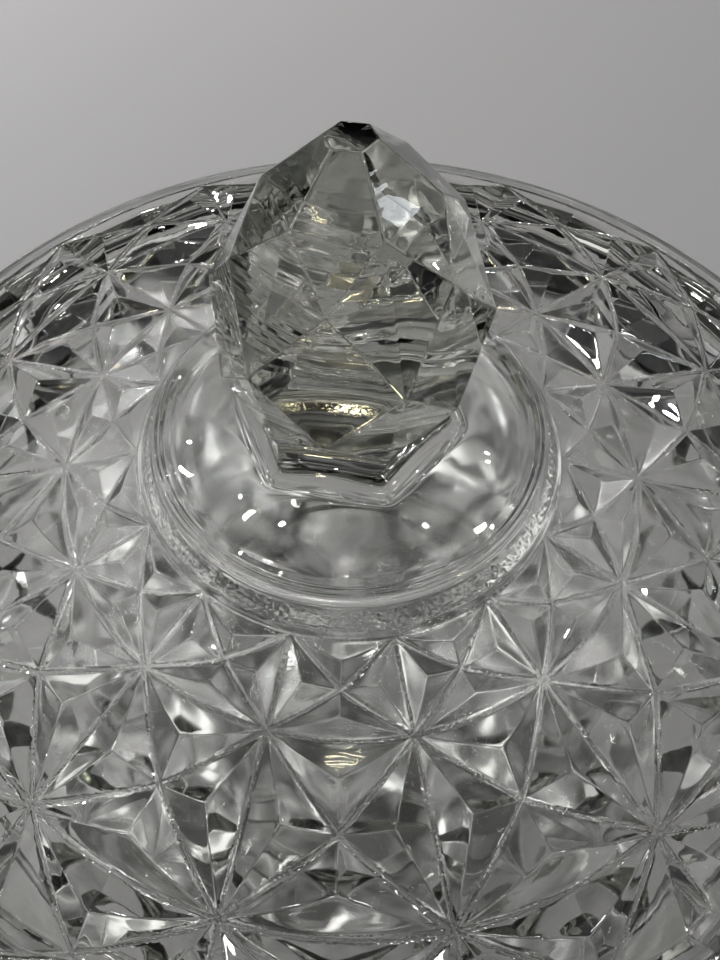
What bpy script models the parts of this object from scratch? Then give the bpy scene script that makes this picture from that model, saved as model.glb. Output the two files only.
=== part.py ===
"""Covered candy dish in pressed glass: a footed bowl and its lift-off lid.

Metres, +Z up, origin under the middle of the foot, azimuths counted from -Y towards +X.
The outside walls carry one pattern. Rings of star points share the same azimuths, so two
neighbouring rings make four-sided cells. A cell's diagonals cross at a second, smaller
star point and part it into four triangles, and each triangle is raised as a low pyramid.
"""
from math import cos, floor, pi, radians, sin, tan, tau

import bmesh
import bpy
from mathutils import Vector

MM = 0.001

# Pattern
COLUMNS = 15
STEPS_PER_COLUMN = 4
STEPS = COLUMNS * STEPS_PER_COLUMN
STAR_TURN = radians(11.4)
PYRAMID_SLOPE = tan(radians(26.0))

# Seat between lid and bowl
RIM_RADIUS = 72.0 * MM
EDGE_ROUND = 2.0 * MM
BOWL_RIM_RADIUS = 70.5 * MM
MOUTH_RADIUS = 66.0 * MM
BOWL_HEIGHT = 70.0 * MM
SEAT_GAP = 0.3 * MM
LOCATING_GAP = 0.6 * MM
LOCATING_DEPTH = 4.0 * MM
LOCATING_WIDTH = 4.0 * MM
RIM_ROUND = 0.6 * MM

# Lid: heights are measured from the edge of the plain disc around the knob
LID_DISC_HEIGHT = 88.6 * MM
DISC_RADIUS = 23.0 * MM
DISC_DOME = 2.0 * MM
DISC_STEP = [(23.2 * MM, -0.9 * MM), (23.7 * MM, -1.6 * MM)]
LID_STARS = [(25.9 * MM, -4.2 * MM), (35.4 * MM, -6.4 * MM), (52.0 * MM, -9.3 * MM), (66.7 * MM, -12.0 * MM)]
LID_CENTRE_RISE = (-0.7 * MM, 0.0, 0.0)
LID_RIM_TOP = -13.8 * MM
LID_INSIDE = [(61.4 * MM, -15.8 * MM), (52.0 * MM, -13.2 * MM), (36.0 * MM, -10.2 * MM), (26.0 * MM, -8.2 * MM),
              (20.0 * MM, -4.6 * MM), (0.0, -3.8 * MM)]

# Knob: six-sided cut stone on a short neck; vertex rings as (radius, height above the disc edge)
KNOB_SIDES = 6
KNOB_TURN = radians(20.7)
KNOB_TABLE = (2.2 * MM, 35.0 * MM)
KNOB_STAR = (7.5 * MM, 30.9 * MM)
KNOB_CROWN = (10.9 * MM, 26.6 * MM)
KNOB_GIRDLE = (13.9 * MM, 19.4 * MM)
KNOB_CULET = (13.6 * MM, 12.6 * MM)
NECK_TOP = (11.4 * MM, 6.6 * MM)
NECK_FOOT = (12.9 * MM, 1.0 * MM)
NECK_ROOT = -1.5 * MM

# Bowl
BAND_HEIGHT = 5.5 * MM
BOWL_STARS = [(70.4 * MM, 62.0 * MM), (64.8 * MM, 37.5 * MM), (46.5 * MM, 16.0 * MM)]
BOWL_CENTRE_RISE = (1.2 * MM, 1.2 * MM)
WAIST = (39.5 * MM, 9.8 * MM)
FOOT_RADIUS = 43.0 * MM
FOOT_INNER_RADIUS = 37.6 * MM
FOOT_HEIGHT = 3.0 * MM
UNDERSIDE_HEIGHT = 5.0 * MM
UNDERSIDE_STARS = [(30.0 * MM, UNDERSIDE_HEIGHT), (9.0 * MM, UNDERSIDE_HEIGHT)]
BOWL_INSIDE = [(0.0, 9.8 * MM), (22.0 * MM, 10.4 * MM), (36.0 * MM, 13.6 * MM), (44.0 * MM, 18.2 * MM),
               (51.0 * MM, 25.5 * MM), (58.6 * MM, 38.0 * MM), (63.6 * MM, 52.0 * MM), (66.0 * MM, 62.0 * MM)]

MERGE = 1e-6
ON_RING = 1e-5


def clear_scene():
    """Remove whatever the file opened with."""
    for obj in list(bpy.data.objects):
        bpy.data.objects.remove(obj, do_unlink=True)


def collection(name):
    """A new collection under the scene."""
    made = bpy.data.collections.new(name)
    bpy.context.scene.collection.children.link(made)
    return made


def glass(name, colour, roughness):
    """Clear pressed glass."""
    material = bpy.data.materials.new(name)
    material.use_nodes = True
    shader = material.node_tree.nodes["Principled BSDF"]
    shader.inputs["Base Color"].default_value = (*colour, 1.0)
    shader.inputs["Roughness"].default_value = roughness
    shader.inputs["Metallic"].default_value = 0.0
    shader.inputs["Transmission Weight"].default_value = 1.0
    shader.inputs["IOR"].default_value = 1.5
    return material


def polar(radius, azimuth, height):
    """A point at a radius and azimuth around the dish's axis."""
    return Vector((radius * sin(azimuth), -radius * cos(azimuth), height))


def azimuth_step(point):
    """Azimuth in pattern steps, from 0 up to STEPS, starting at the first star point."""
    azimuth = Vector((-point.y, point.x)).angle_signed(Vector((1.0, 0.0)))
    return ((azimuth - STAR_TURN) / tau * STEPS) % STEPS


def turned(profile):
    """A closed turned solid from a profile whose two ends lie on the axis."""
    bm = bmesh.new()
    points = [bm.verts.new(polar(radius, STAR_TURN, height)) for radius, height in profile]
    lines = [bm.edges.new(pair) for pair in zip(points, points[1:])]
    bmesh.ops.spin(bm, geom=points + lines, cent=(0, 0, 0), axis=(0, 0, 1), angle=tau, steps=STEPS,
                   use_merge=True)
    bmesh.ops.remove_doubles(bm, verts=bm.verts, dist=MERGE)
    bmesh.ops.recalc_face_normals(bm, faces=bm.faces)
    return bm


def on_ring(vertex, ring):
    """Whether a vertex lies on a ring given as (radius, height)."""
    radius, height = ring
    return abs(vertex.co.xy.length - radius) < ON_RING and abs(vertex.co.z - height) < ON_RING


def is_star_point(vertex):
    """Whether a vertex of a ring stands at a star point's azimuth."""
    step = azimuth_step(vertex.co)
    return abs(step / STEPS_PER_COLUMN - round(step / STEPS_PER_COLUMN)) < 0.01


def raise_pyramid(bm, face, corners):
    """Raise one cell triangle to an apex above the middle of its inscribed circle."""
    a, b, c = (corner.co for corner in corners)
    sides = ((b - c).length, (c - a).length, (a - b).length)
    normal = (b - a).cross(c - a)
    inscribed = normal.length / sum(sides)
    middle = (a * sides[0] + b * sides[1] + c * sides[2]) / sum(sides)
    normal.normalize()
    if normal.dot(face.normal) < 0.0:
        normal.negate()
    apex = bmesh.ops.poke(bm, faces=[face])["verts"][0]
    apex.co = middle + normal * inscribed * PYRAMID_SLOPE


def cut_cell(bm, faces, first, second, centre_rise):
    """Part one cell into four triangles at its second star point and raise each."""
    cell = bmesh.ops.dissolve_faces(bm, faces=faces, use_verts=False)["region"][0]
    cell.normal_update()
    corners = [vertex for vertex in cell.verts if is_star_point(vertex)]
    middle = sum((corner.co for corner in corners), Vector()) / len(corners)
    middle += cell.normal * centre_rise
    parts = bmesh.ops.poke(bm, faces=[cell])
    centre = parts["verts"][0]
    centre.co = middle
    triangles = []
    for ring in (first, second):
        fan = [face for face in parts["faces"]
               if sum(on_ring(vertex, ring) for vertex in face.verts if vertex is not centre) == 2]
        triangles += bmesh.ops.dissolve_faces(bm, faces=fan, use_verts=False)["region"]
        parts["faces"] = [face for face in parts["faces"] if face.is_valid]
    triangles += [face for face in parts["faces"] if face not in triangles]
    for face in triangles:
        face.normal_update()
        tips = [vertex for vertex in face.verts if vertex is centre or is_star_point(vertex)]
        raise_pyramid(bm, face, tips)


def star_rows(bm, rings, rises):
    """Cut the star pattern into the bands between neighbouring rings."""
    for first, second, rise in zip(rings, rings[1:], rises):
        band = [face for face in bm.faces
                if all(on_ring(vertex, first) or on_ring(vertex, second) for vertex in face.verts)]
        columns = [[] for _ in range(COLUMNS)]
        for face in band:
            step = azimuth_step(face.calc_center_median())
            columns[floor(step / STEPS_PER_COLUMN)].append(face)
        for faces in columns:
            cut_cell(bm, faces, first, second, rise)


def finish(bm, name, material, home):
    """Make an object of the mesh, shaded smooth except at real edges."""
    bmesh.ops.recalc_face_normals(bm, faces=bm.faces)
    mesh = bpy.data.meshes.new(name)
    bm.to_mesh(mesh)
    bm.free()
    mesh.materials.append(material)
    mesh.shade_smooth()
    mesh.set_sharp_from_angle(angle=radians(12.0))
    obj = bpy.data.objects.new(name, mesh)
    home.objects.link(obj)
    return obj


def lid_profile():
    """The lid without its knob, from the top of the disc round the rim to the underside."""
    flange = BOWL_HEIGHT + SEAT_GAP - LID_DISC_HEIGHT
    ring_out = MOUTH_RADIUS - LOCATING_GAP
    ring_in = ring_out - LOCATING_WIDTH
    ring_foot = flange - LOCATING_DEPTH
    profile = [(0.0, DISC_DOME), (0.5 * DISC_RADIUS, 0.9 * DISC_DOME), (0.8 * DISC_RADIUS, 0.5 * DISC_DOME),
               (DISC_RADIUS, 0.0)]
    profile += DISC_STEP + LID_STARS
    profile += [(RIM_RADIUS - RIM_ROUND, LID_RIM_TOP), (RIM_RADIUS, LID_RIM_TOP - RIM_ROUND)]
    profile += [(RIM_RADIUS, flange + EDGE_ROUND), (RIM_RADIUS - 0.3 * EDGE_ROUND, flange + 0.3 * EDGE_ROUND)]
    profile += [(RIM_RADIUS - EDGE_ROUND, flange), (ring_out, flange)]
    profile += [(ring_out, ring_foot + RIM_ROUND), (ring_out - RIM_ROUND, ring_foot)]
    profile += [(ring_in + RIM_ROUND, ring_foot), (ring_in, ring_foot + RIM_ROUND)]
    return profile + LID_INSIDE


def knob():
    """The faceted knob with its neck, reaching down into the disc."""
    bm = bmesh.new()
    half = pi / KNOB_SIDES
    rings = [(KNOB_TABLE, 0.0), (KNOB_STAR, 0.0), (KNOB_CROWN, half), (KNOB_GIRDLE, 0.0), (KNOB_CULET, half),
             (NECK_TOP, 0.0)]
    for (radius, height), turn in rings:
        for side in range(KNOB_SIDES):
            bm.verts.new(polar(radius, KNOB_TURN + turn + side * tau / KNOB_SIDES, height))
    bmesh.ops.convex_hull(bm, input=bm.verts)
    bm.normal_update()
    under = [face for face in bm.faces if face.normal.z < -0.999]
    seat = bmesh.ops.dissolve_faces(bm, faces=under, use_verts=False)["region"]
    for radius, height in (NECK_FOOT, (NECK_FOOT[0], NECK_ROOT)):
        seat = bmesh.ops.extrude_discrete_faces(bm, faces=seat)["faces"]
        for vertex in seat[0].verts:
            direction = vertex.co.xy.normalized()
            vertex.co = (*(direction * radius), height)
    return bm


def make_lid(home, tools):
    """Lid: star-cut dome with rim and locating ring, pressed in one with the knob."""
    bm = turned(lid_profile())
    star_rows(bm, LID_STARS, LID_CENTRE_RISE)
    lid = finish(bm, "lid", glass("lid_glass", (0.93, 0.94, 0.92), 0.03), home)
    blank = finish(knob(), "knob_blank", lid.data.materials[0], tools)
    blank.hide_render = True
    blank.display_type = "WIRE"
    union = lid.modifiers.new("knob", "BOOLEAN")
    union.operation = "UNION"
    union.object = blank
    for obj in (lid, blank):
        obj.location.z = LID_DISC_HEIGHT
    return lid


def bowl_profile():
    """The bowl, from under its middle out round the foot, up the outside and down the inside."""
    foot = [(FOOT_INNER_RADIUS - 4.2 * MM, UNDERSIDE_HEIGHT - 0.4 * MM), (FOOT_INNER_RADIUS - 1.2 * MM, 1.2 * MM),
            (FOOT_INNER_RADIUS, 0.0), (FOOT_RADIUS - RIM_ROUND, 0.0), (FOOT_RADIUS, RIM_ROUND),
            (FOOT_RADIUS - 0.4 * MM, FOOT_HEIGHT), WAIST, (WAIST[0] + 2.0 * MM, WAIST[1] + 2.6 * MM)]
    band = [(BOWL_RIM_RADIUS, BOWL_HEIGHT - BAND_HEIGHT), (BOWL_RIM_RADIUS, BOWL_HEIGHT - RIM_ROUND),
            (BOWL_RIM_RADIUS - RIM_ROUND, BOWL_HEIGHT), (MOUTH_RADIUS, BOWL_HEIGHT)]
    return ([(0.0, UNDERSIDE_HEIGHT)] + UNDERSIDE_STARS[::-1] + foot + BOWL_STARS[::-1] + band
            + BOWL_INSIDE[::-1])


def make_bowl(home):
    """Bowl: star-cut wall on a turned foot, with a star ring under the foot."""
    bm = turned(bowl_profile())
    star_rows(bm, BOWL_STARS, BOWL_CENTRE_RISE)
    star_rows(bm, UNDERSIDE_STARS, (0.0,))
    return finish(bm, "bowl", glass("bowl_glass", (0.92, 0.93, 0.92), 0.03), home)


clear_scene()
dish = collection("candy_dish")
cutters = collection("cutters")
make_lid(dish, cutters)
make_bowl(dish)
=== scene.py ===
"""Looks of the covered candy dish: fire-polished pressed glass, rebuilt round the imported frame.

The lid and the bowl are each one closed skin, laid from the axis outwards over one side, round
the rim and back to the axis on the other side. Lengths are in millimetres until a skin becomes a
mesh. Azimuths are counted from -Y towards +X. The room is dark with small lamps, because clear
glass shows little but what it mirrors and bends.
"""
from math import cos, pi, radians, sin, tan, tau

import bmesh
import bpy
import numpy as np
from mathutils import Matrix, Vector


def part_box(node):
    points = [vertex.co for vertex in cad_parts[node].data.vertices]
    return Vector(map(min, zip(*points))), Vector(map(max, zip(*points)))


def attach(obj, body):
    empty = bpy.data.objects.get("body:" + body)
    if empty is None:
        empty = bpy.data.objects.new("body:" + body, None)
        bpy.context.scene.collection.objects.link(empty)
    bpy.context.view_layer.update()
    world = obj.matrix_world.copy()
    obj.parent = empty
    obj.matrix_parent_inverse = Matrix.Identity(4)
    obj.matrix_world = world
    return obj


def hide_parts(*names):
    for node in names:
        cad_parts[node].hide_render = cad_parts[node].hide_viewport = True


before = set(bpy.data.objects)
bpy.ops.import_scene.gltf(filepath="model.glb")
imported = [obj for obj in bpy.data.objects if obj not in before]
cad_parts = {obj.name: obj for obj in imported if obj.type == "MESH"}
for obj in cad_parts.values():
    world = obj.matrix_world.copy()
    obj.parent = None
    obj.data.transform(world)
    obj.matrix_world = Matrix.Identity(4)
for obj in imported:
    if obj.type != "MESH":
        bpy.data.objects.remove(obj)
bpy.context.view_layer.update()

MM = 0.001
LID_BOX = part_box("lid")
BOWL_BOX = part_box("bowl")

# ---------------------------------------------------------------- sizes, in millimetres
# Profiles are lists of (radius, height). The lid's heights count from the disc's edge.
RIM_RADIUS = LID_BOX[1][0] / MM
BOWL_RIM_RADIUS = 70.5
MOUTH_RADIUS = 66.0
BOWL_HEIGHT = BOWL_BOX[1][2] / MM
KNOB_HEIGHT = 35.0
DISC_LEVEL = LID_BOX[1][2] / MM - KNOB_HEIGHT
SEAT_GAP = 0.3
LOCATING_OUT, LOCATING_IN = 65.4, 61.4
LOCATING_DEPTH = 4.0
MERGE_DISTANCE = 0.0008

# Star pattern
COLUMNS = 15
COLUMN = tau / COLUMNS
STAR_TURN = radians(11.4)
PYRAMID_SLOPE = tan(radians(26.0))
GROOVE_HALF_WIDTH = 0.12
GROOVE_ROUND = 0.12
RIDGE_ROUND = 0.05
END_SPACING = (0.1, 0.3, 0.8)
GROOVE_SPACING = (0.05, 0.1, 0.16, 0.24, 0.42)
FACET_SWELL = (0.02, 5.0)

# Knob and neck; each knob ring also says by how many half sides it is turned
KNOB_SIDES = 6
KNOB_TURN = radians(20.7)
KNOB_RINGS = [(2.2, KNOB_HEIGHT, 0), (7.5, 30.9, 0), (10.9, 26.6, 1), (13.9, 19.4, 0), (13.6, 12.6, 1),
              (11.4, 6.6, 0)]
NECK = [(11.45, 5.6), (11.6, 4.9)]
KNOB_BEVEL = 0.16
KNOB_SWELL = (0.02, 9.0)
CUT_HEIGHTS = [(NECK[-1][1] + 0.7, 20.0, 0.4), (20.0, KNOB_HEIGHT - 0.5, 0.12)]
CUT_AZIMUTHS = 30
CROWN_HEIGHTS = (19.0, 23.0, 32.5, 35.5)
CREASE_DEPTH = 0.03
CREASE_WIDTH = 0.8
CREASE_PITCH = pi / 4.0
NECK_FLARE = 2.7
FLARE_RIPPLE = 0.05
FLARE_RIPPLES = 3.0

# Disc and stippled band
DISC_RADIUS = 23.0
DISC_DOME = 2.0
DISC_SWELL = 0.03
DISC_LIP = [(20.9, 0.36), (21.5, 0.2), (21.9, 0.1), (22.25, 0.24), (22.55, 0.12), (22.85, 0.2), (23.1, -0.1),
            (23.2, -0.9), (23.4, -1.4), (23.7, -1.6)]
PEBBLE_BAND = [(23.7, -1.6), (24.2, -2.1), (24.8, -2.9), (25.1, -3.4)]
PEBBLE_SWELL = 0.012
BAND_END = [(25.3, -3.65), (25.6, -3.9), (25.8, -4.1)]

# Lid
LID_STARS = [(25.9, -4.2), (35.4, -6.4), (52.0, -9.3), (66.7, -12.0)]
LID_CENTRE_RISE = (-0.7, 0.0, 0.0)
LID_INSIDE = [(55.0, -13.9), (52.0, -13.2), (44.0, -11.6), (36.0, -10.2), (26.0, -8.2), (20.0, -5.4),
              (10.0, -4.2), (1.0, -3.8)]
LID_WAVE = (0.035, 11.0)
SATIN_RADII = (9.0, 15.0, 34.0, 44.0)
SATIN_AMOUNTS = (0.0, 1.0, 1.0, 0.35)

# Bowl
BOWL_STARS = [(70.4, 62.0), (64.8, 37.5), (46.5, 16.0)]
BOWL_CENTRE_RISE = (0.4, 0.4)
BOWL_INSIDE = [(1.0, 9.8), (22.0, 10.4), (36.0, 13.6), (44.0, 18.2), (51.0, 25.5), (58.6, 38.0), (63.6, 52.0),
               (MOUTH_RADIUS, 62.0), (MOUTH_RADIUS, 66.0)]
BOWL_WAVE = (0.06, 11.0)
BOWL_BAND_END = [(BOWL_RIM_RADIUS, 64.4), (70.42, 62.3)]
BOWL_FOOT = [(46.0, 15.6), (39.6, 10.2), (42.8, 2.6), (43.0, 0.0), (37.6, 0.0), (33.6, 4.8), (30.6, 5.0)]
UNDERSIDE_STARS = [(30.0, 5.0), (9.0, 5.0)]
UNDERSIDE_CENTRE = [(8.6, 4.9), (7.6, 4.6), (5.0, 4.4), (2.0, 4.35)]

# ---------------------------------------------------------------- looks
# Sizes in the shaders and on the stage are in metres. A bump is (strength, depth in millimetres).
GLASS_TINT = (0.955, 0.957, 0.95)
REFRACTIVE_INDEX = 1.5
DEPTH_TINT = (0.63, 0.645, 0.55)
DEPTH_DENSITY = 20.0
SWELL_SCALE, SWELL_BUMP = 260.0, (0.1, 0.1)
PEBBLE_SCALE, PEBBLE_BUMP = 1500.0, (0.22, 0.12)
BEAD_SCALE, BEAD_BUMP = 1900.0, (0.45, 0.12)
POLISHED_ROUGHNESS = (0.0, 0.02)
SATIN_ROUGHNESS = (0.08, 0.14)

FLOOR_SIZE = 6.0
FLOOR_PAINT = (0.45, 0.44, 0.44)
# Painted caustic light and painted shadow of the glass on the floor under the dish: a dark and pale pattern
# that fades out past its edge radius
PAINTED_CAUSTIC_SCALE = 60.0
PAINTED_SHADOW_TONE, PAINTED_CAUSTIC_TONE = (0.09, 0.09, 0.087), (1.0, 1.0, 0.99)
PAINTED_CAUSTIC_EDGE = (0.112, 0.065)
# A painted glow: the floor itself shines in patches under the dish, as painted caustic light
PAINTED_GLOW_EDGE = (0.092, 0.055)
PAINTED_GLOW_STRENGTH = 1.25

ROOM_PALE = (0.42, 0.42, 0.42)
ROOM_DARK, ROOM_CLOUD = (0.030, 0.030, 0.028), (0.75, 0.76, 0.78)

LAMPS = [(-0.22, 0.27, 1.20), (-0.03, 0.50, 1.05), (0.42, 0.50, 0.90), (-0.60, 0.35, 0.80),
         (0.75, -0.10, 0.80), (-0.50, -0.35, 0.90), (0.20, 1.10, 0.50), (-0.90, 0.10, 0.45),
         (0.30, -0.50, 1.00), (0.00, 0.05, 1.10)]
STRIP_COUNT = 12
SPARK_COUNT = 30
SPARK_DISTANCE = 1.2
DISH_MIDDLE = (0.0, 0.0, 0.09)

CAMERA_PLACE = (0.0, -49.99, DISC_LEVEL + 65.83)
CAMERA_AIM = (-3.0, -8.91, DISC_LEVEL)
CAMERA_ROLL = radians(-2.81)
CAMERA_LENS = 26.03
CAMERA_SHIFT = 0.0417


# ---------------------------------------------------------------- shape helpers
def azimuths(count, start=STAR_TURN):
    """Evenly spaced azimuths."""
    return start + np.arange(count) * tau / count


def ring(radius, azimuth, height):
    """Points at the given radii, azimuths and heights."""
    radius, azimuth, height = np.broadcast_arrays(radius, azimuth, height)
    return np.stack([radius * np.sin(azimuth), -radius * np.cos(azimuth), height], axis=-1)


def smooth_max(values, softness):
    """Largest of several values, rounded where two of them meet."""
    top = values.max(axis=0)
    return top + softness * np.log(np.exp((values - top) / softness).sum(axis=0))


def smooth_min(values, softness):
    """Smallest of several values, rounded where two of them meet."""
    return -smooth_max(-values, softness)


def ripple(points, wavelength, seed):
    """A slow, irregular swell between about -1 and 1: the flow marks left in pressed glass."""
    rng = np.random.default_rng(seed)
    total = np.zeros(points.shape[:-1])
    for _ in range(7):
        direction = rng.normal(size=3)
        direction /= np.linalg.norm(direction)
        turns = tau / (wavelength * rng.uniform(0.6, 1.7))
        total += np.sin(points @ direction * turns + rng.uniform(0.0, tau))
    return total / 3.0


def curve(points, count):
    """A smooth line through profile points, sampled evenly by segment."""
    p = np.array([points[0]] + list(points) + [points[-1]], dtype=float)
    out = []
    for t in np.linspace(0.0, len(points) - 1.0, count):
        i = min(int(t), len(points) - 2)
        f = t - i
        a, b, c, d = p[i : i + 4]
        bend, twist = 2 * a - 5 * b + 4 * c - d, 3 * b - a - 3 * c + d
        out.append(0.5 * (2 * b + (c - a) * f + bend * f**2 + twist * f**3))
    return np.array(out)


def fillet(before, corner, after, radius, steps=6):
    """Points of the arc that rounds a profile's corner."""
    a, b, c = (np.array(p, dtype=float) for p in (before, corner, after))
    to_a, to_c = (a - b) / np.linalg.norm(a - b), (c - b) / np.linalg.norm(c - b)
    half = np.arccos(np.clip(to_a @ to_c, -1.0, 1.0)) / 2.0
    reach = radius / tan(half)
    bisector = (to_a + to_c) / np.linalg.norm(to_a + to_c)
    middle = b + bisector * radius / sin(half)
    start, end = b + to_a * reach - middle, b + to_c * reach - middle
    spread = np.arccos(np.clip(start @ end / radius**2, -1.0, 1.0))
    t = np.linspace(0.0, 1.0, steps)[:, None]
    arc = (np.sin((1 - t) * spread) * start + np.sin(t * spread) * end) / sin(spread)
    return [tuple(middle + p) for p in arc]


def rounded(corners, radii):
    """A profile line through corners, each rounded by its radius."""
    line = [corners[0]]
    for before, corner, after, radius in zip(corners, corners[1:], corners[2:], radii):
        line += fillet(before, corner, after, radius)
    return line + [corners[-1]]


# ---------------------------------------------------------------- a closed skin
class Skin:
    """A closed surface made of rings, facet patches and ready-made pieces that share edges."""

    def __init__(self):
        self.points = []
        self.masks = []
        self.faces = []
        self.total = 0
        self.edge = None

    def add(self, points, pebble=0.0, groove=0.0, satin=0.0):
        """Add points and return the index of the first one."""
        first = self.total
        mask = np.zeros((len(points), 3))
        mask[:, 0] = pebble
        mask[:, 1] = groove
        mask[:, 2] = satin
        self.points.append(points)
        self.masks.append(mask)
        self.total += len(points)
        return first

    def lay(self, points, around, pebble=0.0, groove=0.0, satin=0.0):
        """Add one ring and join it to the open edge."""
        index = self.add(points, pebble, groove, satin) + np.arange(len(points))
        if self.edge is not None:
            self.bridge(*self.edge, index, around)
        self.edge = (index, around)

    def close(self, height):
        """End the skin, or start it, with a point on the axis."""
        self.lay(np.array([[0.0, 0.0, height]]), np.zeros(1))

    def turn(self, profile, around, wave=None, seed=1, satin=0.0):
        """Add turned rings along a profile, with a swell if a wave (height, length) is given."""
        for radius, height in profile:
            points = ring(radius, around, height)
            if wave:
                points[:, 2] += wave[0] * ripple(points, wave[1], seed)
            self.lay(points, around, satin=satin * np.interp(radius, SATIN_RADII, SATIN_AMOUNTS))

    def bridge(self, inner, inner_around, outer, outer_around):
        """Faces between two rings."""
        n, m = len(inner), len(outer)
        if n == m and np.allclose(inner_around, outer_around):
            nxt = np.roll(inner, -1), np.roll(outer, -1)
            self.faces += np.stack([inner, outer, nxt[1], nxt[0]], axis=1).tolist()
            return
        if n == 1 or m == 1:
            hub, rim = (inner[0], outer) if n == 1 else (outer[0], inner)
            self.faces += [(int(hub), int(a), int(b)) for a, b in zip(rim, np.roll(rim, -1))]
            return
        self.zip_up(inner, inner_around, outer, outer_around)

    def zip_up(self, inner, inner_around, outer, outer_around):
        """Triangles between two rings whose points stand at different azimuths."""
        def sort(index, around):
            turned = np.mod(around - STAR_TURN + 1e-7, tau)
            order = np.argsort(turned)
            return index[order], np.append(turned[order], turned[order][0] + tau)
        a, at_a = sort(inner, inner_around)
        b, at_b = sort(outer, outer_around)
        i = j = 0
        while i < len(a) or j < len(b):
            here = int(a[i % len(a)]), int(b[j % len(b)])
            if j >= len(b) or (i < len(a) and at_a[i + 1] <= at_b[j + 1]):
                i += 1
                self.faces.append((*here, int(a[i % len(a)])))
            else:
                j += 1
                self.faces.append((*here, int(b[j % len(b)])))

    def mesh(self, name):
        """The skin as a smooth-shaded mesh in metres, with its masks as attributes."""
        mesh = bpy.data.meshes.new(name)
        mesh.from_pydata((np.concatenate(self.points) * MM).tolist(), [], self.faces)
        masks = np.concatenate(self.masks)
        for column, label in enumerate(("pebble", "groove", "satin")):
            layer = mesh.attributes.new(label, "FLOAT", "POINT")
            layer.data.foreach_set("value", np.ascontiguousarray(masks[:, column], dtype=np.float32))
        bm = bmesh.new()
        bm.from_mesh(mesh)
        bmesh.ops.remove_doubles(bm, verts=bm.verts, dist=MERGE_DISTANCE * MM)
        bmesh.ops.recalc_face_normals(bm, faces=bm.faces)
        bm.to_mesh(mesh)
        bm.free()
        mesh.shade_smooth()
        return mesh


# ---------------------------------------------------------------- the star pattern
def spaced(length, spacing, both):
    """Samples along a line, close together at its start or at both of its ends."""
    near = np.array(spacing) / length
    if both:
        middle = np.linspace(near[-1], 1.0 - near[-1], 6)[1:-1]
        return np.concatenate([[0.0], near, middle, 1.0 - near[::-1], [1.0]])
    middle = np.linspace(near[-1], 1.0, 6)[1:-1]
    return np.concatenate([[0.0], near, middle, [0.97, 1.0]])


def triangle_patches(corners):
    """The three facets of one pyramid, each as a grid of flat points with their relief."""
    corners = np.array(corners, dtype=float)
    sides = [(corners[k], corners[(k + 1) % 3]) for k in range(3)]
    lengths = [np.linalg.norm(q - p) for p, q in sides]
    opposite = np.array([lengths[1], lengths[2], lengths[0]])
    centre = (corners * opposite[:, None]).sum(axis=0) / opposite.sum()
    area = 0.5 * abs(np.cross(corners[1] - corners[0], corners[2] - corners[0]))
    inradius = 2.0 * area / sum(lengths)
    down = spaced(inradius, GROOVE_SPACING, False)
    patches = []
    for (p, q), length in zip(sides, lengths):
        across = spaced(length, END_SPACING, True)
        base = p + across[:, None] * (q - p)
        grid = base[None] * (1.0 - down[:, None, None]) + centre * down[:, None, None]
        depths = []
        for (a, b), span in zip(sides, lengths):
            depths.append(np.abs(np.cross(b - a, grid - a)) / span)
        inside = smooth_min(np.stack(depths), RIDGE_ROUND)
        inside = np.maximum(inside, 0.0)
        patches.append((grid, inside))
    return patches


def groove_shape(depth):
    """Height above a groove's bottom at a distance from its line, before the slope."""
    raised = depth - GROOVE_HALF_WIDTH
    level = 0.5 * (raised + np.sqrt(raised**2 + GROOVE_ROUND**2))
    return level - 0.5 * (np.hypot(GROOVE_HALF_WIDTH, GROOVE_ROUND) - GROOVE_HALF_WIDTH)


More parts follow.
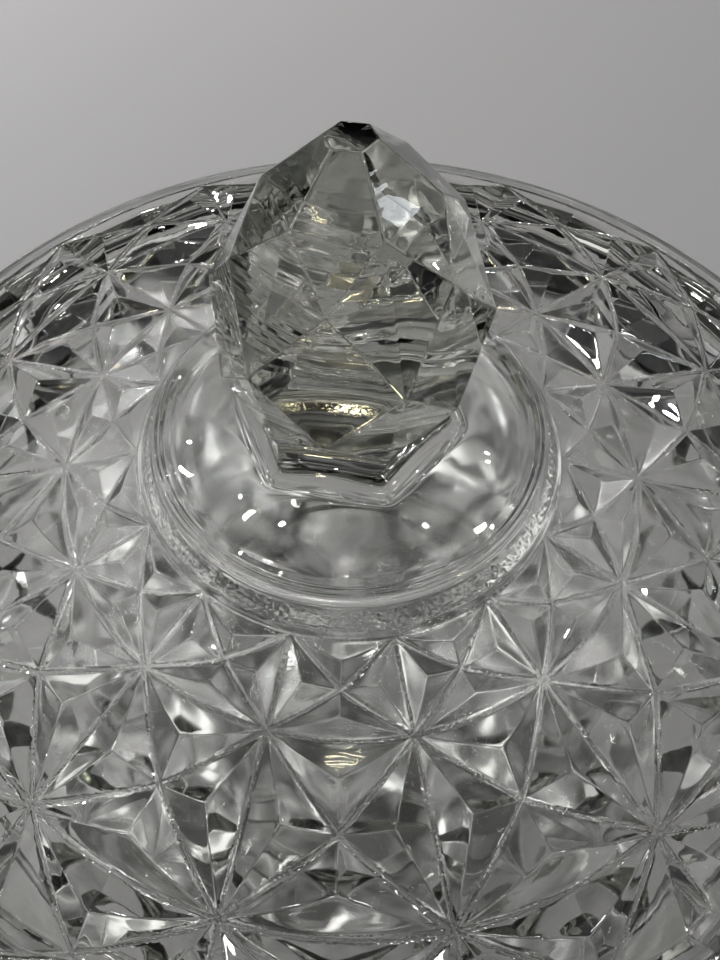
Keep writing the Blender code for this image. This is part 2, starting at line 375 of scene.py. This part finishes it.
def star_band(skin, first, second, rise, swell_along, seed):
    """Lay one row of star cells between two rings of star points."""
    (r_a, z_a), (r_b, z_b) = first, second
    length = float(np.hypot(r_b - r_a, z_b - z_a))
    near, far = r_a * COLUMN, r_b * COLUMN
    normal = np.array([-(z_b - z_a), r_b - r_a]) / length
    tops, ends = length / 2.0, -length / 2.0
    centre = (0.0, 0.0)
    near_left, near_right = (-near / 2.0, ends), (near / 2.0, ends)
    far_left, far_right = (-far / 2.0, tops), (far / 2.0, tops)
    triangles = [(near_left, near_right, centre), (far_right, far_left, centre),
                 (far_left, near_left, centre), (near_right, far_right, centre)]

    def raise_points(across, along, relief, column):
        t = along / length + 0.5
        u = across / (near + (far - near) * t) + 0.5
        crown = 1.0 - np.maximum(np.abs(2.0 * u - 1.0), np.abs(2.0 * t - 1.0))
        lift = PYRAMID_SLOPE * relief + rise * np.clip(crown, 0.0, 1.0)
        around = STAR_TURN + (column + u) * COLUMN
        radius = r_a + (r_b - r_a) * t + normal[0] * lift
        height = z_a + (z_b - z_a) * t + normal[1] * lift
        points = ring(radius, around, height)
        swell = FACET_SWELL[0] * ripple(points, FACET_SWELL[1], seed)
        return points + swell[..., None] * ring(swell_along[0], around, swell_along[1])

    def boundary(radius, end):
        width = radius * COLUMN
        step = spaced(width, END_SPACING, True)[:-1]
        flat = (step - 0.5) * width
        rings = [raise_points(flat, np.full_like(flat, end), np.zeros_like(flat), c) for c in range(COLUMNS)]
        around = np.concatenate([STAR_TURN + (c + step) * COLUMN for c in range(COLUMNS)])
        return np.concatenate(rings), around

    skin.lay(*boundary(r_a, ends), groove=1.0)
    for corners in triangles:
        for grid, inside in triangle_patches(corners):
            rows, width = inside.shape
            i = np.arange(rows * width).reshape(rows, width)
            quads = np.stack([i[:-1, :-1], i[1:, :-1], i[1:, 1:], i[:-1, 1:]], -1).reshape(-1, 4)
            relief = groove_shape(inside)
            groove = np.clip(1.0 - inside / 0.35, 0.0, 1.0).ravel()
            for column in range(COLUMNS):
                points = raise_points(grid[..., 0], grid[..., 1], relief, column)
                start = skin.add(points.reshape(-1, 3), 0.0, groove)
                skin.faces += (quads + start).tolist()
    points, around = boundary(r_b, tops)
    index = skin.add(points, 0.0, 1.0) + np.arange(len(points))
    skin.edge = (index, around)


# ---------------------------------------------------------------- the knob
def slice_through(bm, point, normal):
    """Add edges where a plane meets the mesh, so that its flat facets can swell a little."""
    everything = [*bm.verts, *bm.edges, *bm.faces]
    bmesh.ops.bisect_plane(bm, geom=everything, dist=1e-5, plane_co=point, plane_no=normal)


def cut_stone():
    """The knob's facets and neck as a bevelled solid, open at the foot of the neck."""
    bm = bmesh.new()
    half = pi / KNOB_SIDES
    for radius, height, turned in KNOB_RINGS:
        for side in range(KNOB_SIDES):
            at = KNOB_TURN + turned * half + side * tau / KNOB_SIDES
            bm.verts.new((radius * sin(at), -radius * cos(at), height))
    bmesh.ops.convex_hull(bm, input=bm.verts)
    bmesh.ops.dissolve_limit(bm, angle_limit=radians(1.5), verts=bm.verts, edges=bm.edges)
    bmesh.ops.recalc_face_normals(bm, faces=bm.faces)
    radius_now, height_now = KNOB_RINGS[-1][0], KNOB_RINGS[-1][1]
    for radius, height in NECK:
        bottom = [face for face in bm.faces if face.normal.z < -0.99]
        made = bmesh.ops.extrude_face_region(bm, geom=bottom)["geom"]
        verts = [item for item in made if isinstance(item, bmesh.types.BMVert)]
        bmesh.ops.scale(bm, vec=(radius / radius_now, radius / radius_now, 1.0), verts=verts)
        bmesh.ops.translate(bm, vec=(0.0, 0.0, height - height_now), verts=verts)
        for face in bottom:
            if face.is_valid:
                bm.faces.remove(face)
        bmesh.ops.recalc_face_normals(bm, faces=bm.faces)
        radius_now, height_now = radius, height
    foot = NECK[-1][1]
    sharp = [edge for edge in bm.edges
             if len(edge.link_faces) == 2 and max(v.co.z for v in edge.verts) > foot + 0.01
             and edge.calc_face_angle() > radians(2.0)]
    bmesh.ops.bevel(bm, geom=sharp, offset=KNOB_BEVEL, offset_type="OFFSET", segments=3, profile=0.6,
                    affect="EDGES", clamp_overlap=True)
    bmesh.ops.delete(bm, geom=[face for face in bm.faces if face.normal.z < -0.99], context="FACES_ONLY")
    for lowest, highest, step in CUT_HEIGHTS:
        for height in np.arange(lowest, highest, step):
            slice_through(bm, (0.0, 0.0, height), (0.0, 0.0, 1.0))
    for cut in range(CUT_AZIMUTHS):
        at = cut * pi / CUT_AZIMUTHS + 0.013
        slice_through(bm, (0.0, 0.0, 20.0), (cos(at), sin(at), 0.0))
    return bm


def lay_knob(skin):
    """Add the cut knob, with chill creases on its front crown, and leave its neck's foot open."""
    bm = cut_stone()
    bm.normal_update()
    points = np.array([vert.co for vert in bm.verts])
    normals = np.array([vert.normal for vert in bm.verts])
    foot = NECK[-1][1]
    x, y, z = points.T
    fade = np.clip((z - foot - 0.5) / 3.0, 0.0, 1.0)
    swell = KNOB_SWELL[0] * ripple(points, KNOB_SWELL[1], 71)
    crown = np.interp(z, CROWN_HEIGHTS, (0.0, 1.0, 1.0, 0.0))
    crown *= np.clip(-y / 3.0, 0.0, 1.0) * np.clip((3.0 - x) / 2.0, 0.0, 1.0)
    crease = np.abs(np.sin(z * pi / CREASE_PITCH + 1.2 * ripple(points, 11.0, 73)))
    crease = np.clip(1.0 - crease / CREASE_WIDTH, 0.0, 1.0) ** 2
    swell -= CREASE_DEPTH * crown * crease * (1.0 + 0.5 * ripple(points, 5.0, 74))
    points = points + normals * (swell * fade)[:, None]
    bm.verts.index_update()
    start = skin.add(points)
    skin.faces += [[vert.index + start for vert in face.verts] for face in bm.faces]
    loop = [vert for vert in bm.verts if vert.is_boundary]
    index = np.array([vert.index + start for vert in loop])
    around = np.array([np.arctan2(vert.co.x, -vert.co.y) for vert in loop])
    bm.free()
    skin.edge = (index, around)


def hexagon(circumradius, around, softness=0.012):
    """Radius of a six-sided outline with slightly rounded corners."""
    half = pi / KNOB_SIDES
    sides = KNOB_TURN + half + np.arange(KNOB_SIDES) * tau / KNOB_SIDES
    facing = smooth_max(np.cos(around[None, :] - sides[:, None]), softness)
    return circumradius * cos(half) / facing


def disc_height(radius):
    """Height of the plain disc round the knob."""
    return DISC_DOME * (1.0 - (radius / DISC_RADIUS) ** 2)


def lay_disc(skin):
    """The fillet at the neck's foot and the plain disc out to its rolled edge."""
    around = azimuths(360, KNOB_TURN)
    foot, foot_height = NECK[-1]
    front = FLARE_RIPPLE * np.clip(0.4 + np.cos(around), 0.0, 1.0)
    for t in np.linspace(0.0, 1.0, 25)[1:]:
        radius = hexagon(foot, around, 0.012 + 0.02 * t) + NECK_FLARE * (1.0 - cos(t * pi / 2.0))
        level = disc_height(radius)
        height = level + (foot_height - level) * (1.0 - sin(t * pi / 2.0))
        height += front * (1.0 - t) * sin(FLARE_RIPPLES * tau * t)
        skin.lay(ring(radius, around, height), around)
    inner, outer = radius, DISC_LIP[0][0]
    for t in np.linspace(0.0, 1.0, 22)[1:]:
        radius = inner * (1.0 - t) + outer * t
        points = ring(radius, around, disc_height(radius))
        swell = ripple(points, 9.0, 3) + 0.2 * ripple(points, 3.5, 4)
        points[:, 2] += DISC_SWELL * min(1.0, 4.0 * t) * swell
        skin.lay(points, around)
    skin.turn(curve(DISC_LIP, 40)[1:], azimuths(360))


def lay_pebbles(skin):
    """The narrow stippled band between the disc's step and the stars."""
    rng = np.random.default_rng(11)
    around = azimuths(720)
    for radius, height in curve(PEBBLE_BAND, 12)[1:]:
        points = ring(radius, around, height)
        bumps = rng.normal(size=len(around))
        points[:, 2] += PEBBLE_SWELL * (bumps + np.roll(bumps, 1) + np.roll(bumps, -1))
        skin.lay(points, around, pebble=1.0)
    skin.turn(BAND_END, azimuths(360))


def make_lid():
    """The lid's skin, with heights counted from the disc's edge."""
    skin = Skin()
    lay_knob(skin)
    lay_disc(skin)
    lay_pebbles(skin)
    for k, rise in enumerate(LID_CENTRE_RISE):
        star_band(skin, LID_STARS[k], LID_STARS[k + 1], rise, (0.0, 1.0), 20)
    flange = BOWL_HEIGHT + SEAT_GAP - DISC_LEVEL
    fine, plain = azimuths(720), azimuths(240)
    rim = [(67.2, -12.1), (RIM_RADIUS, -13.6), (RIM_RADIUS, flange), (LOCATING_OUT, flange)]
    skin.turn(rounded(rim, (1.5, 2.0))[:-1], fine)
    seat = [(69.0, flange), (LOCATING_OUT, flange), (LOCATING_OUT, flange - LOCATING_DEPTH),
            (LOCATING_IN, flange - LOCATING_DEPTH), (LOCATING_IN, -15.6), LID_INSIDE[0]]
    skin.turn(rounded(seat, (0.4, 0.8, 0.8, 1.2)), plain)
    skin.turn(curve(LID_INSIDE, 60)[1:], plain, LID_WAVE, seed=31, satin=1.0)
    skin.close(LID_INSIDE[-1][1])
    return skin


def make_bowl():
    """The bowl's skin, from the inside of its bottom up over the rim and down to the foot."""
    skin = Skin()
    skin.close(BOWL_INSIDE[0][1])
    fine, plain = azimuths(720), azimuths(240)
    skin.turn(curve(BOWL_INSIDE, 80), plain, BOWL_WAVE, seed=41)
    rim = [BOWL_INSIDE[-1], (MOUTH_RADIUS, BOWL_HEIGHT), (BOWL_RIM_RADIUS, BOWL_HEIGHT), *BOWL_BAND_END]
    skin.turn(rounded(rim, (0.6, 0.8, 0.6))[1:], fine)
    for k, rise in enumerate(BOWL_CENTRE_RISE):
        star_band(skin, BOWL_STARS[k], BOWL_STARS[k + 1], rise, (0.7, -0.7), 50)
    skin.turn(rounded(BOWL_FOOT, (2.0, 2.0, 0.6, 0.6, 1.0)), fine)
    star_band(skin, *UNDERSIDE_STARS, 0.0, (0.0, -1.0), 60)
    skin.turn(UNDERSIDE_CENTRE, plain)
    skin.close(UNDERSIDE_CENTRE[-1][1])
    return skin


# ---------------------------------------------------------------- shader nodes
def map_range(tree, value, before, after=(0.0, 1.0), smooth=False):
    """Carry a value from one range over to another."""
    node = tree.nodes.new("ShaderNodeMapRange")
    node.interpolation_type = "SMOOTHSTEP" if smooth else "LINEAR"
    node.inputs["From Min"].default_value, node.inputs["From Max"].default_value = before
    node.inputs["To Min"].default_value, node.inputs["To Max"].default_value = after
    tree.links.new(value, node.inputs["Value"])
    return node.outputs["Result"]


def calculate(tree, operation, first, second):
    """Combine two values."""
    node = tree.nodes.new("ShaderNodeMath")
    node.operation = operation
    tree.links.new(first, node.inputs[0])
    tree.links.new(second, node.inputs[1])
    return node.outputs["Value"]


def scale_colour(tree, colour, amount):
    """Darken or brighten a colour."""
    node = tree.nodes.new("ShaderNodeVectorMath")
    node.operation = "SCALE"
    tree.links.new(colour, node.inputs[0])
    tree.links.new(amount, node.inputs["Scale"])
    return node.outputs["Vector"]


def mix_colours(tree, amount):
    """A colour mix, with its two colours still to be set."""
    node = tree.nodes.new("ShaderNodeMix")
    node.data_type = "RGBA"
    tree.links.new(amount, node.inputs["Factor"])
    return node


def clouds(tree, place, scale, detail, distortion, ends):
    """Noise, and the same noise as a colour that runs between two (position, colour) ends."""
    noise = tree.nodes.new("ShaderNodeTexNoise")
    noise.inputs["Scale"].default_value = scale
    noise.inputs["Detail"].default_value = detail
    noise.inputs["Distortion"].default_value = distortion
    tree.links.new(place, noise.inputs["Vector"])
    ramp = tree.nodes.new("ShaderNodeValToRGB")
    for element, (position, colour) in zip(ramp.color_ramp.elements, ends):
        element.position = position
        element.color = (*colour, 1.0)
    tree.links.new(noise.outputs["Fac"], ramp.inputs["Fac"])
    return noise.outputs["Fac"], ramp.outputs["Color"]


# ---------------------------------------------------------------- material
def glass_material(name):
    """Clear pressed glass: fire-polished, faintly rippled, stippled and satin where masks say."""
    material = bpy.data.materials.new(name)
    material.use_nodes = True
    tree = material.node_tree
    nodes, links = tree.nodes, tree.links
    shader = nodes["Principled BSDF"]
    shader.inputs["Base Color"].default_value = (*GLASS_TINT, 1.0)
    shader.inputs["Transmission Weight"].default_value = 1.0
    shader.inputs["IOR"].default_value = REFRACTIVE_INDEX
    place = nodes.new("ShaderNodeTexCoord")

    def texture(kind, scale):
        node = nodes.new(kind)
        node.inputs["Scale"].default_value = scale
        links.new(place.outputs["Object"], node.inputs["Vector"])
        return node

    def masked(value, attribute):
        mask = nodes.new("ShaderNodeAttribute")
        mask.attribute_name = attribute
        return calculate(tree, "MULTIPLY", value, mask.outputs["Fac"])

    def bump(height, strength_and_depth, below=None):
        strength, depth = strength_and_depth
        node = nodes.new("ShaderNodeBump")
        node.inputs["Strength"].default_value = strength
        node.inputs["Distance"].default_value = depth * MM
        links.new(height, node.inputs["Height"])
        if below is not None:
            links.new(below, node.inputs["Normal"])
        return node.outputs["Normal"]

    swell = texture("ShaderNodeTexNoise", SWELL_SCALE)
    pebbles = texture("ShaderNodeTexVoronoi", PEBBLE_SCALE)
    beads = texture("ShaderNodeTexVoronoi", BEAD_SCALE)
    normal = bump(swell.outputs["Fac"], SWELL_BUMP)
    normal = bump(masked(pebbles.outputs["Distance"], "pebble"), PEBBLE_BUMP, normal)
    normal = bump(masked(beads.outputs["Distance"], "groove"), BEAD_BUMP, normal)
    links.new(normal, shader.inputs["Normal"])
    polish = map_range(tree, swell.outputs["Fac"], (0.0, 1.0), POLISHED_ROUGHNESS)
    satin = map_range(tree, swell.outputs["Fac"], (0.0, 1.0), SATIN_ROUGHNESS)
    links.new(calculate(tree, "ADD", polish, masked(satin, "satin")), shader.inputs["Roughness"])
    depth = nodes.new("ShaderNodeVolumeAbsorption")
    depth.inputs["Color"].default_value = (*DEPTH_TINT, 1.0)
    depth.inputs["Density"].default_value = DEPTH_DENSITY
    links.new(depth.outputs["Volume"], nodes["Material Output"].inputs["Volume"])
    return material


def place_piece(skin, name, material, height, node, body):
    """Turn a skin into the piece that stands for a node. It casts no shadow, as clear glass hardly does; the
    light and shade it would throw are painted on the floor instead.
    """
    obj = bpy.data.objects.new(name, skin.mesh(name))
    bpy.context.scene.collection.objects.link(obj)
    obj.data.transform(Matrix.Translation((0.0, 0.0, height * MM)))
    obj.data.materials.append(material)
    obj.visible_shadow = False
    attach(obj, body)
    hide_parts(node)
    return obj


# ---------------------------------------------------------------- stage, light, camera
def make_floor():
    """A plain pale floor. Under the dish it carries painted light and shade: the light that the glass
    gathers, as painted caustics and a painted glow, the glass's painted shadow, and painted shade that
    darkens towards the front and right.
    """
    bpy.ops.mesh.primitive_plane_add(size=FLOOR_SIZE, location=(0.0, 0.0, 0.0))
    floor = bpy.context.object
    floor.name = "floor"
    material = bpy.data.materials.new("floor_paint")
    material.use_nodes = True
    tree = material.node_tree
    nodes, links = tree.nodes, tree.links
    shader = nodes["Principled BSDF"]
    shader.inputs["Roughness"].default_value = 0.7
    place = nodes.new("ShaderNodeTexCoord").outputs["Object"]
    distance = nodes.new("ShaderNodeVectorMath")
    distance.operation = "LENGTH"
    links.new(place, distance.inputs[0])
    # Painted caustic light and painted shadow of the glass fill the floor inside this radius
    inside = map_range(tree, distance.outputs["Value"], PAINTED_CAUSTIC_EDGE, smooth=True)
    painted_glow_area = map_range(tree, distance.outputs["Value"], PAINTED_GLOW_EDGE, smooth=True)
    noise, painted_caustics = clouds(tree, place, PAINTED_CAUSTIC_SCALE, 2.0, 0.9, [(0.40, PAINTED_SHADOW_TONE), (0.68, PAINTED_CAUSTIC_TONE)])
    # Painted shade: the pattern under the dish grows darker towards the front and right, where the light
    # falls off
    along = nodes.new("ShaderNodeVectorMath")
    along.operation = "DOT_PRODUCT"
    along.inputs[1].default_value = (-0.45, 0.9, 0.0)
    links.new(place, along.inputs[0])
    shade = map_range(tree, along.outputs["Value"], (-0.11, 0.015), (0.22, 1.0))
    paint = mix_colours(tree, inside)
    paint.inputs["A"].default_value = (*FLOOR_PAINT, 1.0)
    links.new(scale_colour(tree, painted_caustics, shade), paint.inputs["B"])
    links.new(paint.outputs["Result"], shader.inputs["Base Color"])
    # Painted caustic light: the floor emits light in the pale patches of the noise under the dish
    painted_glow = map_range(tree, noise, (0.60, 0.76), (0.0, PAINTED_GLOW_STRENGTH), smooth=True)
    shader.inputs["Emission Color"].default_value = (1.0, 1.0, 0.98, 1.0)
    links.new(calculate(tree, "MULTIPLY", painted_glow, painted_glow_area), shader.inputs["Emission Strength"])
    floor.data.materials.append(material)


def area_light(name, place, size, power, colour=(1.0, 1.0, 1.0), seen=True, aim=DISH_MIDDLE):
    """A rectangular light, which either shows as an image in the glass or lights the floor."""
    light = bpy.data.lights.new(name, "AREA")
    light.shape = "RECTANGLE"
    light.size, light.size_y = size
    light.energy = power
    light.color = colour
    obj = bpy.data.objects.new(name, light)
    obj.location = place
    obj.rotation_euler = (Vector(aim) - Vector(place)).to_track_quat("-Z", "Y").to_euler()
    obj.visible_glossy = seen
    obj.visible_transmission = seen
    obj.visible_diffuse = not seen
    bpy.context.scene.collection.objects.link(obj)


def make_room():
    """The room in the glass: dark, a little cloudy, pale low on the left. The camera sees it plain."""
    world = bpy.data.worlds.new("room")
    bpy.context.scene.world = world
    world.use_nodes = True
    tree = world.node_tree
    nodes, links = tree.nodes, tree.links
    place = nodes.new("ShaderNodeTexCoord").outputs["Generated"]
    _, dome = clouds(tree, place, 2.6, 1.0, 0.0, [(0.47, ROOM_DARK), (0.75, ROOM_CLOUD)])
    split = nodes.new("ShaderNodeSeparateXYZ")
    links.new(place, split.inputs["Vector"])
    low = map_range(tree, split.outputs["Z"], (0.07, 0.0), smooth=True)
    side = map_range(tree, split.outputs["X"], (-0.6, 0.7), (1.0, 0.4))
    horizon = mix_colours(tree, calculate(tree, "MULTIPLY", low, side))
    links.new(dome, horizon.inputs["A"])
    horizon.inputs["B"].default_value = (*ROOM_PALE, 1.0)
    behind = map_range(tree, split.outputs["Y"], (0.70, 0.90), (1.0, 0.06), smooth=True)
    ray = nodes.new("ShaderNodeLightPath")
    plain = mix_colours(tree, ray.outputs["Is Camera Ray"])
    links.new(scale_colour(tree, horizon.outputs["Result"], behind), plain.inputs["A"])
    plain.inputs["B"].default_value = (*ROOM_PALE, 1.0)
    links.new(plain.outputs["Result"], nodes["Background"].inputs["Color"])


def make_lights():
    """Soft light for the floor, and small lamps whose images sparkle in the glass."""
    area_light("soft_back", (-0.7, 0.75, 0.8), (0.8, 0.6), 15.6, seen=False, aim=(0.0, 0.35, 0.0))
    for k, place in enumerate(LAMPS):
        area_light(f"lamp_{k}", place, (0.02, 0.02), 0.14)
    rng = np.random.default_rng(16)
    for k in range(SPARK_COUNT):
        around, up = radians(rng.uniform(60.0, 300.0)), radians(rng.uniform(12.0, 75.0))
        out, height = SPARK_DISTANCE * cos(up), DISH_MIDDLE[2] + SPARK_DISTANCE * sin(up)
        place = (out * sin(around), -out * cos(around), height)
        area_light(f"spark_{k}", place, (0.016, 0.016), 0.20)
    for k in range(STRIP_COUNT):
        area_light(f"strip_{k}", (-0.9 + 0.16 * k, 0.25, 0.95), (0.025, 0.025), 0.10)
    area_light("lamp_warm", (0.02, 1.10, 0.29), (0.03, 0.03), 0.16, (1.0, 0.9, 0.62))
    area_light("panel_left", (-0.8, 0.3, 0.75), (0.30, 0.22), 0.45, (0.93, 0.97, 1.0))
    area_light("panel_right", (0.5, 0.8, 0.7), (0.22, 0.22), 0.15)
    area_light("panel_blue", (0.83, 0.16, 0.67), (0.04, 0.11), 0.10, (0.88, 0.93, 1.0))


def make_camera():
    """A close view of the lid from in front and above."""
    camera = bpy.data.cameras.new("camera")
    camera.sensor_width = 36.0
    camera.lens = CAMERA_LENS
    camera.shift_x = CAMERA_SHIFT
    camera.clip_start = 0.001
    obj = bpy.data.objects.new("camera", camera)
    bpy.context.scene.collection.objects.link(obj)
    place = Vector(CAMERA_PLACE) * MM
    aim = Vector(CAMERA_AIM) * MM
    turn = (aim - place).to_track_quat("-Z", "Y").to_matrix() @ Matrix.Rotation(CAMERA_ROLL, 3, "Z")
    obj.location = place
    obj.rotation_euler = turn.to_euler()
    bpy.context.scene.camera = obj


make_camera()
make_floor()
make_room()
make_lights()
place_piece(make_lid(), "lid_shell", glass_material("lid_pressed_glass"), DISC_LEVEL,
            "lid", "lid")
place_piece(make_bowl(), "bowl_shell", glass_material("bowl_pressed_glass"), 0.0,
            "bowl", "bowl")
bpy.context.scene.view_settings.view_transform = "Standard"
bpy.context.scene.cycles.caustics_refractive = False
bpy.context.scene.cycles.caustics_reflective = False
bpy.context.scene.cycles.sample_clamp_indirect = 40.0
bpy.context.scene.cycles.max_bounces = 24
bpy.context.scene.cycles.transmission_bounces = 24
